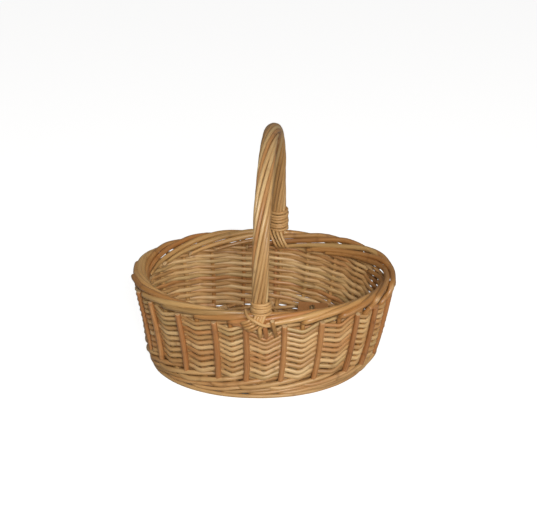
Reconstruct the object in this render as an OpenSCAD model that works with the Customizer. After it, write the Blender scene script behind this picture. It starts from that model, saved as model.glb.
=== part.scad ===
// Oval willow egg basket with a fixed bow handle. Millimetres, +Z up, +X along the long side.
// Origin: centre of the oval on the plane the basket stands on.

/* [Bowl] */
// outside width of the bowl at the rim, left to right
rim_w = 360; // [300:1:420]
// outside depth of the bowl at the rim, front to back
rim_d = 277; // [230:1:330]
// height of the top of the border
rim_h = 135; // [110:1:160]
// outside width where the foot meets the ground
foot_w = 302; // [250:1:360]
// outside depth where the foot meets the ground
foot_d = 231; // [190:1:280]
// outward lean of the two ends, degrees
lean_x = 9.7; // [4:0.1:16]
// outward lean of the front and back, degrees
lean_y = 13.1; // [4:0.1:18]

// how far the foot sits to the left of the rim
foot_left = 5; // [0:0.5:8]
// how far the foot sits in front of the rim
foot_front = 5; // [0:0.5:8]

/* [Rods] */
// thickness of the upright stakes at the base
stake_d = 6.6; // [5:0.1:9]
// thickness of the ribs on the outside
rib_d = 7.6; // [5:0.1:9]
// thickness of a siding weaver at its butt
weaver_butt = 5.3; // [3:0.1:6]
// thickness of a siding weaver at its tip
weaver_tip = 4.1; // [2:0.1:5]
// thickness of the heavy rods that turn the wall up
upsett_rod = 5.7; // [4:0.1:7]
// thickness of the foot rods
foot_rod = 5; // [4:0.1:6.5]
// height of the lowest siding weaver
siding_z = 28.5; // [24:0.5:36]
// height climbed by one siding weaver
siding_rise = 86.5; // [70:0.5:100]
// share by which the climb eases off towards the thin end
siding_ease = 0.18; // [0:0.01:0.4]

/* [Border] */
// thickness of a laid down stake at the border
border_rod = 7.8; // [6:0.1:9.5]
// thickness of its end
border_end = 4.8; // [4:0.1:8]

/* [Handle] */
// height of the top of the handle
handle_h = 334.5; // [260:0.5:400]
// distance of the handle from the middle of the basket
handle_x = 10.5; // [-20:0.5:20]
// height where the two legs turn into the arch
arch_z = 194.5; // [150:0.5:260]
// thickness of each wrapping rod
wrap_rod = 5.1; // [4:0.1:6.5]
// thickness of the bow inside the wrapping
core_d = 11.2; // [8:0.1:14]
// turns made by the wrapping from foot to foot
wrap_turns = 1.8; // [0.5:0.1:4]

/* [Tag] */
// width of the card
card_w = 43; // [25:1:60]
// length of the card
card_l = 52; // [30:1:80]
// thickness of the card
card_t = 1.2; // [0.6:0.1:2]

/* [Hidden] */
stations = 22;
step = 360 / stations;
tx = tan(lean_x);
ty = tan(lean_y);
rib_u = (stake_d + rib_d) / 2 - 2.4;
z_rim = rim_h - 17;
a_rim = rim_w / 2 - rib_u - rib_d / 2;
b_rim = rim_d / 2 - rib_u - rib_d / 2 + 0.2;
z_kink = 24;
a_kink = a_rim - tx * (z_rim - z_kink);
b_kink = b_rim - ty * (z_rim - z_kink);
a_foot = foot_w / 2 - foot_rod * 1.5;
b_foot = foot_d / 2 - foot_rod * 1.5;
// degrees by which each bay was closed up or opened when the ribs were pushed in
stray = [0.1, 0.5, 3.4, 1.1, 2, 1, -0.8, 1.2, 0.5, 0, -0.2, 0.3, 0.2, 0, -0.8, 0.9, 1.8, 4.2, 0.7, 2.4, 3.3, 0.3];
// ribs whose tops are laid over to the left instead of being cut
laid_ribs = [3, 7, 9, 12, 15, 21];
lash_turns = 5;
cane = [0.86, 0.68, 0.44];
bark = [0.72, 0.50, 0.29];
gold = [0.80, 0.60, 0.36];
honey = [0.77, 0.55, 0.32];

// ---- oval wall ----------------------------------------------------------
function wrap(s) = s - floor(s / stations) * stations;
function drift(s) = let (q = wrap(s - 0.5), i = floor(q), f = q - i)
    stray[i % stations] * (1 - f) + stray[(i + 1) % stations] * f;
function turn(s) = let (b = 270 + step * s) b + 1.2 - 3.8 * sin(b) + drift(s);
function wall_a(z) = z >= z_kink ? a_rim - tx * (z_rim - z) : a_foot + (a_kink - a_foot) * z / z_kink;
function wall_b(z) = z >= z_kink ? b_rim - ty * (z_rim - z) : b_foot + (b_kink - b_foot) * z / z_kink;
// the foot isn't quite under the rim: it sits a little left, forward and askew
function sway(p) = [p.x - foot_left * max(0, 1 - p.z / 60), p.y + (0.04 * p.x - foot_front) * max(0, 1 - p.z / z_kink), p.z];
// s: stake number (halves are ribs), u: distance outside the line of the stakes
function at(s, u, z) = let (t = turn(s)) sway([(wall_a(z) + u) * cos(t), (wall_b(z) + u) * sin(t), z]);
function rod_at(s, u, z, r) = let (p = at(s, u, z)) [p.x, p.y, p.z, r];

// ---- rods swept along points [x, y, z, radius] ---------------------------
function xyz(p) = [p[0], p[1], p[2]];
function unit(v) = v / norm(v);
function along(p, i, shut) = let (n = len(p),
    a = shut ? p[(i + n - 1) % n] : p[max(0, i - 1)],
    b = shut ? p[(i + 1) % n] : p[min(n - 1, i + 1)]) unit(xyz(b) - xyz(a));
function ring(p, i, ref, n, shut, spin) = let (t = along(p, i, shut), s = unit(cross(t, ref)), v = cross(s, t))
    [for (k = [0 : n - 1]) xyz(p[i]) + p[i][3] * (cos(360 * (k + spin) / n) * s + sin(360 * (k + spin) / n) * v)];
function skin(o, m, n, shut) = concat(
    [for (i = [0 : (shut ? m - 1 : m - 2)]) for (k = [0 : n - 1])
        let (a = o + i * n + k, b = o + i * n + (k + 1) % n, c = o + ((i + 1) % m) * n + (k + 1) % n, d = o + ((i + 1) % m) * n + k)
        each [[a, b, c], [a, c, d]]],
    shut ? [] : [[for (k = [n - 1 : -1 : 0]) o + k], [for (k = [0 : n - 1]) o + (m - 1) * n + k]]);
module rods(paths, n = 5, ref = [0, 0, 1], shut = false, spin = 0.5) {
    m = len(paths[0]);
    polyhedron(
        points = [for (p = paths) for (i = [0 : m - 1]) each ring(p, i, ref, n, shut, spin)],
        faces = [for (j = [0 : len(paths) - 1]) each skin(j * m * n, m, n, shut)],
        convexity = 12);
}

// ---- base ----------------------------------------------------------------
base_z = 8;
base_half = 45;
function base_pt(r, t, z) = [(base_half + 0.93 * r) * cos(t), r * sin(t), z];
module bar(p, q, d) {
    v = q - p;
    translate(p) rotate([0, acos(v.z / norm(v)), atan2(v.y, v.x)]) cylinder(d = d, h = norm(v), $fn = 40);
}
base_at = [-foot_left * (1 - base_z / 60), -foot_front * (1 - base_z / z_kink), 0];
module base_long_sticks() color(bark) translate(base_at) {
    translate([-(base_half + 92), 0, base_z]) rotate([0, 90, 0]) cylinder(d = 6.4, h = 2 * (base_half + 92), $fn = 40);
    for (side = [-1, 1]) translate([-112, side * 9.5, base_z]) rotate([0, 90, 0]) cylinder(d = 6.4, h = 224, $fn = 40);
}
module base_cross_sticks() color(bark) translate(base_at)
    for (t = [45, 67.5, 90, 112.5, 135]) difference() {
        translate([base_half * cos(t) * 1.5, -98, base_z]) rotate([-90, 0, 0]) cylinder(d = 10, h = 196, $fn = 40);
        for (side = [-1, 0, 1]) translate([-112, side * 9.5, base_z]) rotate([0, 90, 0]) cylinder(d = 6.4, h = 224, $fn = 40);
    }
base_turns = 12;
function base_path(k) = [for (i = [0 : 16 * base_turns])
    let (t = 22.5 * i + 180 * k, r = 20 + (b_foot - 12 - 20) * i / (16 * base_turns), o = (i + floor(i / 16)) % 2 == 0 ? 1 : -1,
         p = base_pt(r, t, base_z + 3.6 * o * (k == 0 ? 1 : -1))) [p.x, p.y, p.z, 2.5]];
module base_weaver_1() color(cane) translate(base_at) rods([base_path(0)], 4);
module base_weaver_2() color(cane) translate(base_at) rods([base_path(1)], 4);

// ---- foot and upsett ------------------------------------------------------
// flat underneath: a six-sided section with one side on the ground
ring_r = foot_rod / 2 / cos(30);
module foot_ring() color(cane)
    rods([[for (i = [0 : 2 * stations - 1]) let (t = 360 * i / (2 * stations), r = ring_r)
        let (p = sway([(a_foot + 4.5) * cos(t), (b_foot + 4.5) * sin(t), 0])) [p.x, p.y, foot_rod / 2, r]]], 6, [0, 0, 1], true, 0);
// waling: each rod passes outside two stakes and inside the third
function waling(j, s0, periods, z0, dz, r, reach) = [for (i = [0 : 4 * periods])
    let (f = i / 4 - floor(i / 4), s = s0 + j + 3 * i / 4,
         u = f == 0 ? -reach : (f == 0.5 ? reach + 0.4 : reach - 0.7),
         z = z0 + dz * (f == 0 ? -0.1 : (f == 0.25 ? -0.5 : (f == 0.5 ? 0 : 0.5)))) rod_at(s, u, z, r)];
module foot_wale_1() color(cane) rods([waling(0, 9, 7, 9.8, 5.2, foot_rod / 2, 5)]);
module foot_wale_2() color(cane) rods([waling(1, 9, 7, 9.8, 5.2, foot_rod / 2, 5)]);
module foot_wale_3() color(cane) rods([waling(2, 9, 7, 9.8, 5.2, foot_rod / 2, 5)]);
module upsett_wale_1() color(gold) rods([waling(0, 12.6, 7, 19.6, 7.6, upsett_rod / 2, 5.6)]);
module upsett_wale_2() color(gold) rods([waling(1, 12.6, 7, 19.6, 7.6, upsett_rod / 2, 5.6)]);
module upsett_wale_3() color(gold) rods([waling(2, 12.6, 7, 19.6, 7.6, upsett_rod / 2, 5.6)]);

// ---- stakes: from the base, up the wall, laid down as the border ----------
function stake_path(k) = let (r = stake_d / 2, e = border_rod / 2, m = k % 11 == 0 ? -0.09 : 0, s = k + m)
    [rod_at(s, -36, base_z, r), rod_at(s, -3, base_z + 0.5, r), rod_at(s, 0, z_kink, r), rod_at(s, 0, 70, r),
     rod_at(s, 0.6, rim_h - 17, r), rod_at(k + 0.18, 3.6, rim_h - 12.4, e), rod_at(k + 1, 3.4, rim_h - 7.8, e),
     rod_at(k + 1.6, 0.4, rim_h - 4.2, e), rod_at(k + 2.1, -3.6, rim_h - 3.9, e - 0.1), rod_at(k + 2.7, -7.8, rim_h - 6.2, e - 0.3),
     rod_at(k + 3.4, -10.4, rim_h - 11, e - 0.6), rod_at(k + 4.2, -11.3, rim_h - 17, (e + border_end) / 2 - 0.6),
     rod_at(k + 5, -11.2, rim_h - 22.6, border_end / 2)];
module stakes(from, to) color(bark) rods([for (k = [from : to]) stake_path(k)], 6, [0.0123, 0.0234, 1]);
module stakes_front() stakes(20, 25);
module stakes_right() stakes(4, 8);
module stakes_back() stakes(9, 13);
module stakes_left() stakes(14, 19);

// ---- ribs on the outside, between the stakes ------------------------------
// a laid rib is swept round its bend, in the plane of the wall
function laid_path(s, top) = [
    rod_at(s, rib_u + 0.3, z_kink - 1, rib_d / 2), rod_at(s, rib_u, top - 9, rib_d / 2), rod_at(s, rib_u, top, rib_d / 2 * 1.1),
    rod_at(s - 0.18, rib_u - 0.2, top + 0.6, rib_d / 2 - 0.8), rod_at(s - 0.38, rib_u - 0.4, top + 0.6, rib_d / 2 - 0.8)];
module rib(i) {
    s = i + 0.5;
    top = rim_h - 17.5;
    if (len(search(i, laid_ribs)) > 0)
        rods([laid_path(s, top)], 12, [cos(turn(s)), sin(turn(s)), 0]);
    else
        bar(at(s, rib_u + 0.3, z_kink - 1), at(s, rib_u, top), rib_d);
}
module ribs(from, to) color(honey) for (i = [from : to]) rib(i % stations);
module ribs_front() ribs(19, 24);
module ribs_right() ribs(3, 7);
module ribs_back() ribs(8, 13);
module ribs_left() ribs(14, 18);

// ---- siding: one weaver started at every stake, each climbing a full round --
bays = 20;
function weaver_path(j) = [for (i = [0 : 2 * bays])
    let (q = i / (2 * bays), half = i % 2 == 1, side = (i / 2) % 2 == 0 ? -1 : 1,
         r = (weaver_butt + (weaver_tip - weaver_butt) * q) / 2, u = half ? -0.9 : side * (stake_d / 2 + r + 0.1))
    rod_at(j + i / 2, u, siding_z + siding_rise * ((1 + siding_ease) * q - siding_ease * q * q) - 0.2 * u, r)];
module weaver(j) color([cane.x - 0.02 * (j % 3), cane.y - 0.02 * (j % 3), cane.z - 0.02 * (j % 3)]) rods([weaver_path(j)]);
module weaver_01() weaver(0);
module weaver_02() weaver(1);
module weaver_03() weaver(2);
module weaver_04() weaver(3);
module weaver_05() weaver(4);
module weaver_06() weaver(5);
module weaver_07() weaver(6);
module weaver_08() weaver(7);
module weaver_09() weaver(8);
module weaver_10() weaver(9);
module weaver_11() weaver(10);
module weaver_12() weaver(11);
module weaver_13() weaver(12);
module weaver_14() weaver(13);
module weaver_15() weaver(14);
module weaver_16() weaver(15);
module weaver_17() weaver(16);
module weaver_18() weaver(17);
module weaver_19() weaver(18);
module weaver_20() weaver(19);
module weaver_21() weaver(20);
module weaver_22() weaver(21);

// ---- handle -----------------------------------------------------------------
wrap_r = (core_d + wrap_rod) / 2;
arch_r = rim_d / 2 - 9;
arch_h = handle_h - wrap_r - wrap_rod / 2 - arch_z;
leg_z = rim_h + 1;
leg = arch_z - leg_z;
arc_len = PI * sqrt((arch_r * arch_r + arch_h * arch_h) / 2);
bow_len = 2 * leg + arc_len;
// place along the bow, q from 0 at the front foot to 1 at the back foot
function bow_y(q) = let (d = q * bow_len) d < leg ? -arch_r : (d > bow_len - leg ? arch_r : -arch_r * cos(180 * (d - leg) / arc_len));
function bow_z(q) = let (d = q * bow_len) d < leg ? leg_z + d : (d > bow_len - leg ? leg_z + bow_len - d : arch_z + arch_h * sin(180 * (d - leg) / arc_len));
function bow_in(q) = let (d = q * bow_len, g = d < leg ? 0 : (d > bow_len - leg ? 180 : 180 * (d - leg) / arc_len))
    unit([0, -cos(g) * arch_h, sin(g) * arch_r]);
module handle_core() color(bark)
    rods([concat(
        [[handle_x + 3.6, -wall_b(34) - 0.3, 34, 3.1], [handle_x + 3.6, -wall_b(106) - 0.3, 106, 3.1], [handle_x, -arch_r, leg_z + 2, core_d / 2]],
        [for (i = [2 : 30]) let (q = i / 32) [handle_x, bow_y(q), bow_z(q), core_d / 2]],
        [[handle_x, arch_r, leg_z + 2, core_d / 2], [handle_x - 3.6, wall_b(106) + 0.3, 106, 3.1], [handle_x - 3.6, wall_b(34) + 0.3, 34, 3.1]])],
        8, [1, 0, 0]);
function wrap_path(j) = [for (i = [0 : 32]) let (q = i / 32, g = 36 * j - 360 * wrap_turns * q, o = bow_in(q))
    [handle_x + wrap_r * cos(g), bow_y(q) + wrap_r * sin(g) * o.y, bow_z(q) + wrap_r * sin(g) * o.z, wrap_rod / 2]];
module wrapped(j) color(gold) rods([wrap_path(j)], 5, [1, 0.001, 0]);
module handle_rod_01() wrapped(0);
module handle_rod_02() wrapped(1);
module handle_rod_03() wrapped(2);
module handle_rod_04() wrapped(3);
module handle_rod_05() wrapped(4);
module handle_rod_06() wrapped(5);
module handle_rod_07() wrapped(6);
module handle_rod_08() wrapped(7);
module handle_rod_09() wrapped(8);
module handle_rod_10() wrapped(9);

// binding wound round each foot of the handle
module lash(side, turns, z0, d, rise) color(cane)
    for (i = [0 : turns - 1]) translate([handle_x, side * arch_r, z0 + i * rise])
        rotate([side * (i % 2 == 0 ? 5 : -4), i % 2 == 0 ? 3 : -3, 0])
            rotate_extrude($fn = 48) translate([wrap_r + wrap_rod / 2 + d / 2 - 0.3, 0]) circle(d = d, $fn = 24);
module lash_front() lash(-1, lash_turns, rim_h + 1.5, 3.2, 3.35);
module lash_back() lash(1, lash_turns + 2, rim_h + 3.5, 3.4, 4.4);
// strands that run from the binding over the border and are tucked under it
function strand(side, k, lean) = let (x = handle_x - 8.5 + 5.2 * k)
    [[x, side * (arch_r + 5), rim_h + 4, 1.7], [x + lean * 0.3, side * (wall_b(rim_h) + 7), rim_h - 2, 1.7],
     [x + lean * 0.75, side * (wall_b(rim_h) + 7.5), rim_h - 10, 1.7], [x + lean, side * (wall_b(rim_h) + 3), rim_h - 19, 1.6],
     [x + lean * 1.15, side * (wall_b(rim_h) - 2), rim_h - 25, 1.5]];
function inner_strand(side, k, lean) = let (x = handle_x - 6 + 4.4 * k)
    [[x, side * (arch_r - 6), rim_h + 5, 1.7], [x + lean * 0.3, side * (arch_r - 12), rim_h - 1, 1.7],
     [x + lean * 0.75, side * (arch_r - 17.5), rim_h - 9, 1.7], [x + lean, side * (arch_r - 17), rim_h - 18, 1.6],
     [x + lean * 1.15, side * (arch_r - 12), rim_h - 24, 1.5]];
module tie_front() color(cane) rods([for (k = [0 : 3]) strand(-1, k, -9)], 5, [1, 0.01, 0]);
module tie_back() color(cane) rods([for (k = [0 : 3]) inner_strand(1, k, 12)], 5, [1, 0.01, 0]);

// ---- card tag lying inside against the back of the base ----------------------
card_tilt = 20;
module place_card() translate([65.5, 86, 39.8]) rotate([card_tilt, 0, -3]) children();
module tag_card() color([0.70, 0.48, 0.27]) place_card() difference() {
    translate([-card_w / 2, -card_l, 0]) linear_extrude(card_t) offset(r = 2.5, $fn = 32) offset(delta = -2.5) square([card_w, card_l]);
    translate([-1, -10, -1]) cylinder(d = 4.2, h = card_t + 2, $fn = 32);
}
module tag_eyelet() color([0.62, 0.55, 0.40]) place_card() translate([-1, -10, card_t / 2])
    rotate_extrude($fn = 40) translate([2.1, -card_t / 2 - 0.7]) difference() {
        square([1.9, card_t + 1.4]);
        translate([0.6, 0.7]) square([2, card_t]);
    }
module tag_twine() color([0.80, 0.70, 0.52]) place_card() translate([0, 0, card_t])
    rods([[[-1, -9.6, -4.6, 0.8], [-1, -10, -0.6, 0.8], [-1, -10.7, 1.5, 0.8], [-1, -12.6, 2.1, 0.8], [-0.8, -15.2, 1.8, 0.8],
           [0, -20, 1.1, 0.8], [1.5, -29, 1, 0.8], [2.4, -38, 1, 0.8], [3, -49, 1, 0.8]]], 6, [1, 0.01, 0]);

base_long_sticks();
base_cross_sticks();
base_weaver_1();
base_weaver_2();
foot_ring();
foot_wale_1();
foot_wale_2();
foot_wale_3();
upsett_wale_1();
upsett_wale_2();
upsett_wale_3();
stakes_front();
stakes_right();
stakes_back();
stakes_left();
ribs_front();
ribs_right();
ribs_back();
ribs_left();
weaver_01();
weaver_02();
weaver_03();
weaver_04();
weaver_05();
weaver_06();
weaver_07();
weaver_08();
weaver_09();
weaver_10();
weaver_11();
weaver_12();
weaver_13();
weaver_14();
weaver_15();
weaver_16();
weaver_17();
weaver_18();
weaver_19();
weaver_20();
weaver_21();
weaver_22();
handle_core();
handle_rod_01();
handle_rod_02();
handle_rod_03();
handle_rod_04();
handle_rod_05();
handle_rod_06();
handle_rod_07();
handle_rod_08();
handle_rod_09();
handle_rod_10();
lash_front();
lash_back();
tie_front();
tie_back();
tag_card();
tag_eyelet();
tag_twine();
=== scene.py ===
import math

import bpy
import numpy as np
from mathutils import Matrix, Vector


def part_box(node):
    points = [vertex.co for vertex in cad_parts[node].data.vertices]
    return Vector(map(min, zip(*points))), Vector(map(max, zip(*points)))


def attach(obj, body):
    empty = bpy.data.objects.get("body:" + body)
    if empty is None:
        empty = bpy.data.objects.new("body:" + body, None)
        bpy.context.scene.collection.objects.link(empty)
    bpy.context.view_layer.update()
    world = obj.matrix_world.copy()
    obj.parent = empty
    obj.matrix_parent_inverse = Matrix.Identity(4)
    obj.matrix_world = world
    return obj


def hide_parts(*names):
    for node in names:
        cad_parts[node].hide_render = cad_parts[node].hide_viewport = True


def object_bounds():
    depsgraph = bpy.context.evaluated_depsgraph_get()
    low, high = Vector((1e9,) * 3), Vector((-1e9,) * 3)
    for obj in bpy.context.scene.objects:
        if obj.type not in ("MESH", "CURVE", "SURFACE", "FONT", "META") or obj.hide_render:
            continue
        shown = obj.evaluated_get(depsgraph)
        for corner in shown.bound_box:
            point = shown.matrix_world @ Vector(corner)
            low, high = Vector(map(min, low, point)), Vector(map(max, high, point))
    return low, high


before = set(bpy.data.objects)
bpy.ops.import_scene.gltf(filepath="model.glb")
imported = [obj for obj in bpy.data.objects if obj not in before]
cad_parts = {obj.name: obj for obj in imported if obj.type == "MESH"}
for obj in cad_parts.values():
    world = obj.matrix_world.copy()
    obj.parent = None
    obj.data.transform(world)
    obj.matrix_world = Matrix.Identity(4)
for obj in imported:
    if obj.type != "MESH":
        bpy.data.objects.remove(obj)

lo0, hi0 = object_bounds()

# ---------------------------------------------------------------- sizes (mm); the rim, foot and handle sizes are taken from the imported frame
MM = 0.001


def span(a, b, axis):
    return (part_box(b)[1][axis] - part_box(a)[0][axis]) / MM


rim_h = 135.0 * (hi0.z / MM) / 334.5
handle_h = hi0.z / MM
rib_d, stake_d = 7.6, 6.6
rib_u = (stake_d + rib_d) / 2 - 2.4
rim_w = span("ribs_left", "ribs_right", 0) + 0.6
rim_d = span("ribs_front", "ribs_back", 1) + 1.0
foot_lo, foot_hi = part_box("foot_ring")
foot_w = (foot_hi.x - foot_lo.x) / MM + 0.2
foot_d = (foot_hi.y - foot_lo.y) / MM + 0.2
foot_left, foot_front = 5.0, 5.0
foot_rod = 5.0
core_lo, core_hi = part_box("handle_rod_01")
handle_x = (core_lo.x + core_hi.x) / 2 / MM
arch_r = rim_d / 2 - 9
arch_z = 194.5
weaver_butt, weaver_tip = 5.3, 4.1
siding_z, siding_rise, siding_ease = 28.5, 86.5, 0.18
border_rod, border_end = 7.8, 4.8
wrap_rod, core_d, wrap_turns = 5.1, 11.2, 1.8

stations = 22
step = 360.0 / stations
tx, ty = math.tan(math.radians(9.7)), math.tan(math.radians(13.1))
z_rim = rim_h - 17
a_rim = rim_w / 2 - rib_u - rib_d / 2
b_rim = rim_d / 2 - rib_u - rib_d / 2 + 0.2
z_kink = 24.0
a_kink = a_rim - tx * (z_rim - z_kink)
b_kink = b_rim - ty * (z_rim - z_kink)
a_foot = foot_w / 2 - foot_rod * 1.5
b_foot = foot_d / 2 - foot_rod * 1.5
stray = [0.1, 0.5, 3.4, 1.1, 2, 1, -0.8, 1.2, 0.5, 0, -0.2, 0.3, 0.2, 0, -0.8, 0.9, 1.8, 4.2, 0.7, 2.4, 3.3, 0.3]
laid_ribs = [3, 7, 9, 12, 15, 21]
base_z = 10.5
base_half = 45.0


def drift(s):
    q = (s - 0.5) % stations
    i = int(q)
    f = q - i
    return stray[i % stations] * (1 - f) + stray[(i + 1) % stations] * f


def turn(s):
    b = 270 + step * s
    return b + 1.2 - 3.8 * math.sin(math.radians(b)) + drift(s)


def wall_a(z):
    return a_rim - tx * (z_rim - z) if z >= z_kink else a_foot + (a_kink - a_foot) * z / z_kink


def wall_b(z):
    return b_rim - ty * (z_rim - z) if z >= z_kink else b_foot + (b_kink - b_foot) * z / z_kink


def sway(x, y, z):
    """The foot isn't quite under the rim: it sits a little left, forward and askew."""
    return [x - foot_left * max(0, 1 - z / 60), y + (0.04 * x - foot_front) * max(0, 1 - z / z_kink), z]


def at(s, u, z, r=None):
    t = math.radians(turn(s))
    p = sway((wall_a(z) + u) * math.cos(t), (wall_b(z) + u) * math.sin(t), z)
    return p + [r] if r is not None else p


def ease(x, a, b):
    f = min(1, max(0, (x - a) / (b - a)))
    return f * f * (3 - 2 * f)


# ---------------------------------------------------------------- rods as meshes
def noise1(n, spacing, rng):
    k = int(n / spacing) + 4
    c = rng.uniform(-1, 1, k)
    x = np.arange(n) / spacing
    i = x.astype(int)
    f = x - i
    f = f * f * (3 - 2 * f)
    return c[i] * (1 - f) + c[i + 1] * f


def smooth_path(P, ds, closed=False):
    """Centripetal-like Catmull-Rom through control points [x, y, z, r], then even spacing."""
    P = np.asarray(P, float)
    n = len(P)
    if closed:
        Q = np.vstack([P[-1], P, P[0], P[1]])
        segs = n
    else:
        Q = np.vstack([2 * P[0] - P[1], P, 2 * P[-1] - P[-2]])
        Q[0, 3], Q[-1, 3] = P[0, 3], P[-1, 3]
        segs = n - 1
    out = []
    sub = 10
    t = np.arange(sub)[:, None] / sub
    for i in range(segs):
        p0, p1, p2, p3 = Q[i], Q[i + 1], Q[i + 2], Q[i + 3]
        out.append(0.5 * (2 * p1 + (p2 - p0) * t + (2 * p0 - 5 * p1 + 4 * p2 - p3) * t ** 2 + (3 * p1 - p0 - 3 * p2 + p3) * t ** 3))
    out = np.vstack(out + [P[:1] if closed else P[-1:]])
    d = np.concatenate([[0], np.cumsum(np.linalg.norm(np.diff(out[:, :3], axis=0), axis=1))])
    m = max(4, int(round(d[-1] / ds)))
    x = np.linspace(0, d[-1], m + 1)
    R = np.column_stack([np.interp(x, d, out[:, k]) for k in range(4)])
    return R[:-1] if closed else R


class Piece:
    def __init__(self):
        self.v, self.f, self.st, self.rod = [], [], [], []
        self.n = 0

    def add(self, P, sides=12, seed=0, ds=3.0, wobble=0.0, closed=False, cut=(0.25, 0.25), tone=None, hue=None,
            oval=0.035, lump=0.03, knots=0.010, raw=False, flat=1.0, floor=None, taper_end=(1.0, 1.0), ref=None, kink_highlight=()):
        rng = np.random.default_rng(seed * 7919 + 13)
        if not raw:
            P = smooth_path(P, ds, closed)
        P = P.copy()
        n = len(P)
        if closed:
            T = np.roll(P[:, :3], -1, 0) - np.roll(P[:, :3], 1, 0)
        else:
            T = np.gradient(P[:, :3], axis=0)
        T /= np.linalg.norm(T, axis=1)[:, None] + 1e-12
        a = np.array(ref if ref is not None else (0, 0, 1.0), float)
        if abs(a @ T[0]) > 0.95:
            a = np.array([0.3, 1.0, 0.1])
        N = np.zeros((n, 3))
        x = a - (a @ T[0]) * T[0]
        N[0] = x / np.linalg.norm(x)
        for i in range(1, n):
            x = N[i - 1] - (N[i - 1] @ T[i]) * T[i]
            N[i] = x / (np.linalg.norm(x) + 1e-12)
        B = np.cross(T, N)
        if closed:
            gap = math.atan2(N[-1] @ B[0], N[-1] @ N[0])
            ang = -np.arange(n) / n * gap
            N, B = N * np.cos(ang)[:, None] + B * np.sin(ang)[:, None], -N * np.sin(ang)[:, None] + B * np.cos(ang)[:, None]
        if wobble:
            k = max(3.0, 26.0 / ds)
            w = np.sin(np.pi * np.clip(np.arange(n) / max(n - 1, 1), 0, 1)) ** 0.2 if not closed else 1
            wa, wb = noise1(n, k, rng) * wobble * w, noise1(n, k, rng) * wobble * w
            if closed:
                e = np.minimum(1, np.minimum(np.arange(n), np.arange(n)[::-1]) / 12.0)
                wa, wb = wa * e, wb * e
            P[:, :3] += N * wa[:, None] + B * wb[:, None]
        r = P[:, 3] * (1 + lump * noise1(n, max(3.0, 18.0 / ds), rng))
        L = np.concatenate([[0], np.cumsum(np.linalg.norm(np.diff(P[:, :3], axis=0), axis=1))])
        knot = np.zeros(n)
        if knots:
            for c in rng.uniform(0, L[-1], int(rng.poisson(L[-1] * knots))):
                g = np.exp(-((L - c) / 2.2) ** 2)
                knot = np.maximum(knot, g)
                r = r * (1 + 0.07 * g)
        phi = noise1(n, max(4.0, 60.0 / ds), rng) * 1.6 + rng.uniform(0, 6)
        th = 2 * math.pi * np.arange(sides) / sides
        rr = r[:, None] * (1 + oval * np.cos(2 * th[None] + phi[:, None]))
        C, S = np.cos(th)[None, :, None], np.sin(th)[None, :, None]
        flat = flat(P)[:, None, None] if callable(flat) else flat
        V = P[:, None, :3] + rr[..., None] * (N[:, None] * C * flat + B[:, None] * S)
        if not closed:
            for end, i, sgn in ((0, 0, -1), (1, n - 1, 1)):
                slope = cut[end] * (1 if rng.uniform() > 0.5 else -1)
                ph = rng.uniform(0, 6.28)
                V[i] += sgn * T[i] * (slope * rr[i] * np.cos(th + ph))[:, None]
        if floor is not None:
            V[..., 2] = np.maximum(V[..., 2], floor)
        tone = rng.uniform(0, 1) if tone is None else tone
        hue = rng.uniform(0, 1) if hue is None else hue
        off = rng.uniform(0, 40, 3)
        st = np.stack([rr * np.cos(th)[None] * MM + off[0], rr * np.sin(th)[None] * MM + off[1], np.broadcast_to(L[:, None] * MM + off[2], rr.shape)], -1)
        col = np.zeros((n, sides, 4))
        col[..., 0] = tone
        col[..., 1] = hue
        col[..., 3] = knot[:, None]
        # painted highlight: around each given point the cut channel is raised, so the pale cut-end colour lies on the
        # stake knuckle as a bright spot
        for x, y, z, reach, much in kink_highlight:
            col[..., 2] = np.maximum(col[..., 2], much * np.exp(-(np.linalg.norm(V - np.array([x, y, z]), axis=2) / reach) ** 2))
        base = self.n
        self.v.append(V.reshape(-1, 3))
        self.st.append(st.reshape(-1, 3))
        self.rod.append(col.reshape(-1, 4))
        self.n += n * sides
        k = np.arange(sides)
        k1 = (k + 1) % sides
        rows = n if closed else n - 1
        for i in range(rows):
            a0, b0 = base + i * sides, base + ((i + 1) % n) * sides
            self.f.extend(np.column_stack([a0 + k, a0 + k1, b0 + k1, b0 + k]).tolist())
        if not closed:
            for i, sgn, i0 in ((0, -1, base), (n - 1, 1, base + (n - 1) * sides)):
                ring = V[i]
                c = ring.mean(0)
                inner = c + (ring - c) * 0.86 + sgn * T[i] * 0.22
                mid = c + (ring - c) * 0.45 + sgn * T[i] * 0.26
                o = self.n
                self.v.append(np.vstack([inner, mid, c + sgn * T[i] * 0.24]))
                s1 = st[i].copy()
                self.st.append(np.vstack([s1, s1 * 1.0, s1.mean(0)[None]]))
                cc = np.tile(np.array([tone, hue, 1.0, 0.0]), (2 * sides + 1, 1))
                cc[-1, 3] = 0.0
                self.rod.append(cc)
                self.n += 2 * sides + 1
                q = []
                for j in range(sides):
                    j1 = (j + 1) % sides
                    q.append([i0 + j, o + j, o + j1, i0 + j1] if sgn < 0 else [i0 + j, i0 + j1, o + j1, o + j])
                    q.append([o + j, o + sides + j, o + sides + j1, o + j1] if sgn < 0 else [o + j, o + j1, o + sides + j1, o + sides + j])
                    q.append([o + sides + j, o + 2 * sides, o + sides + j1] if sgn < 0 else [o + sides + j, o + sides + j1, o + 2 * sides])
                self.f.extend([list(map(int, z)) for z in q])
        return V

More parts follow.
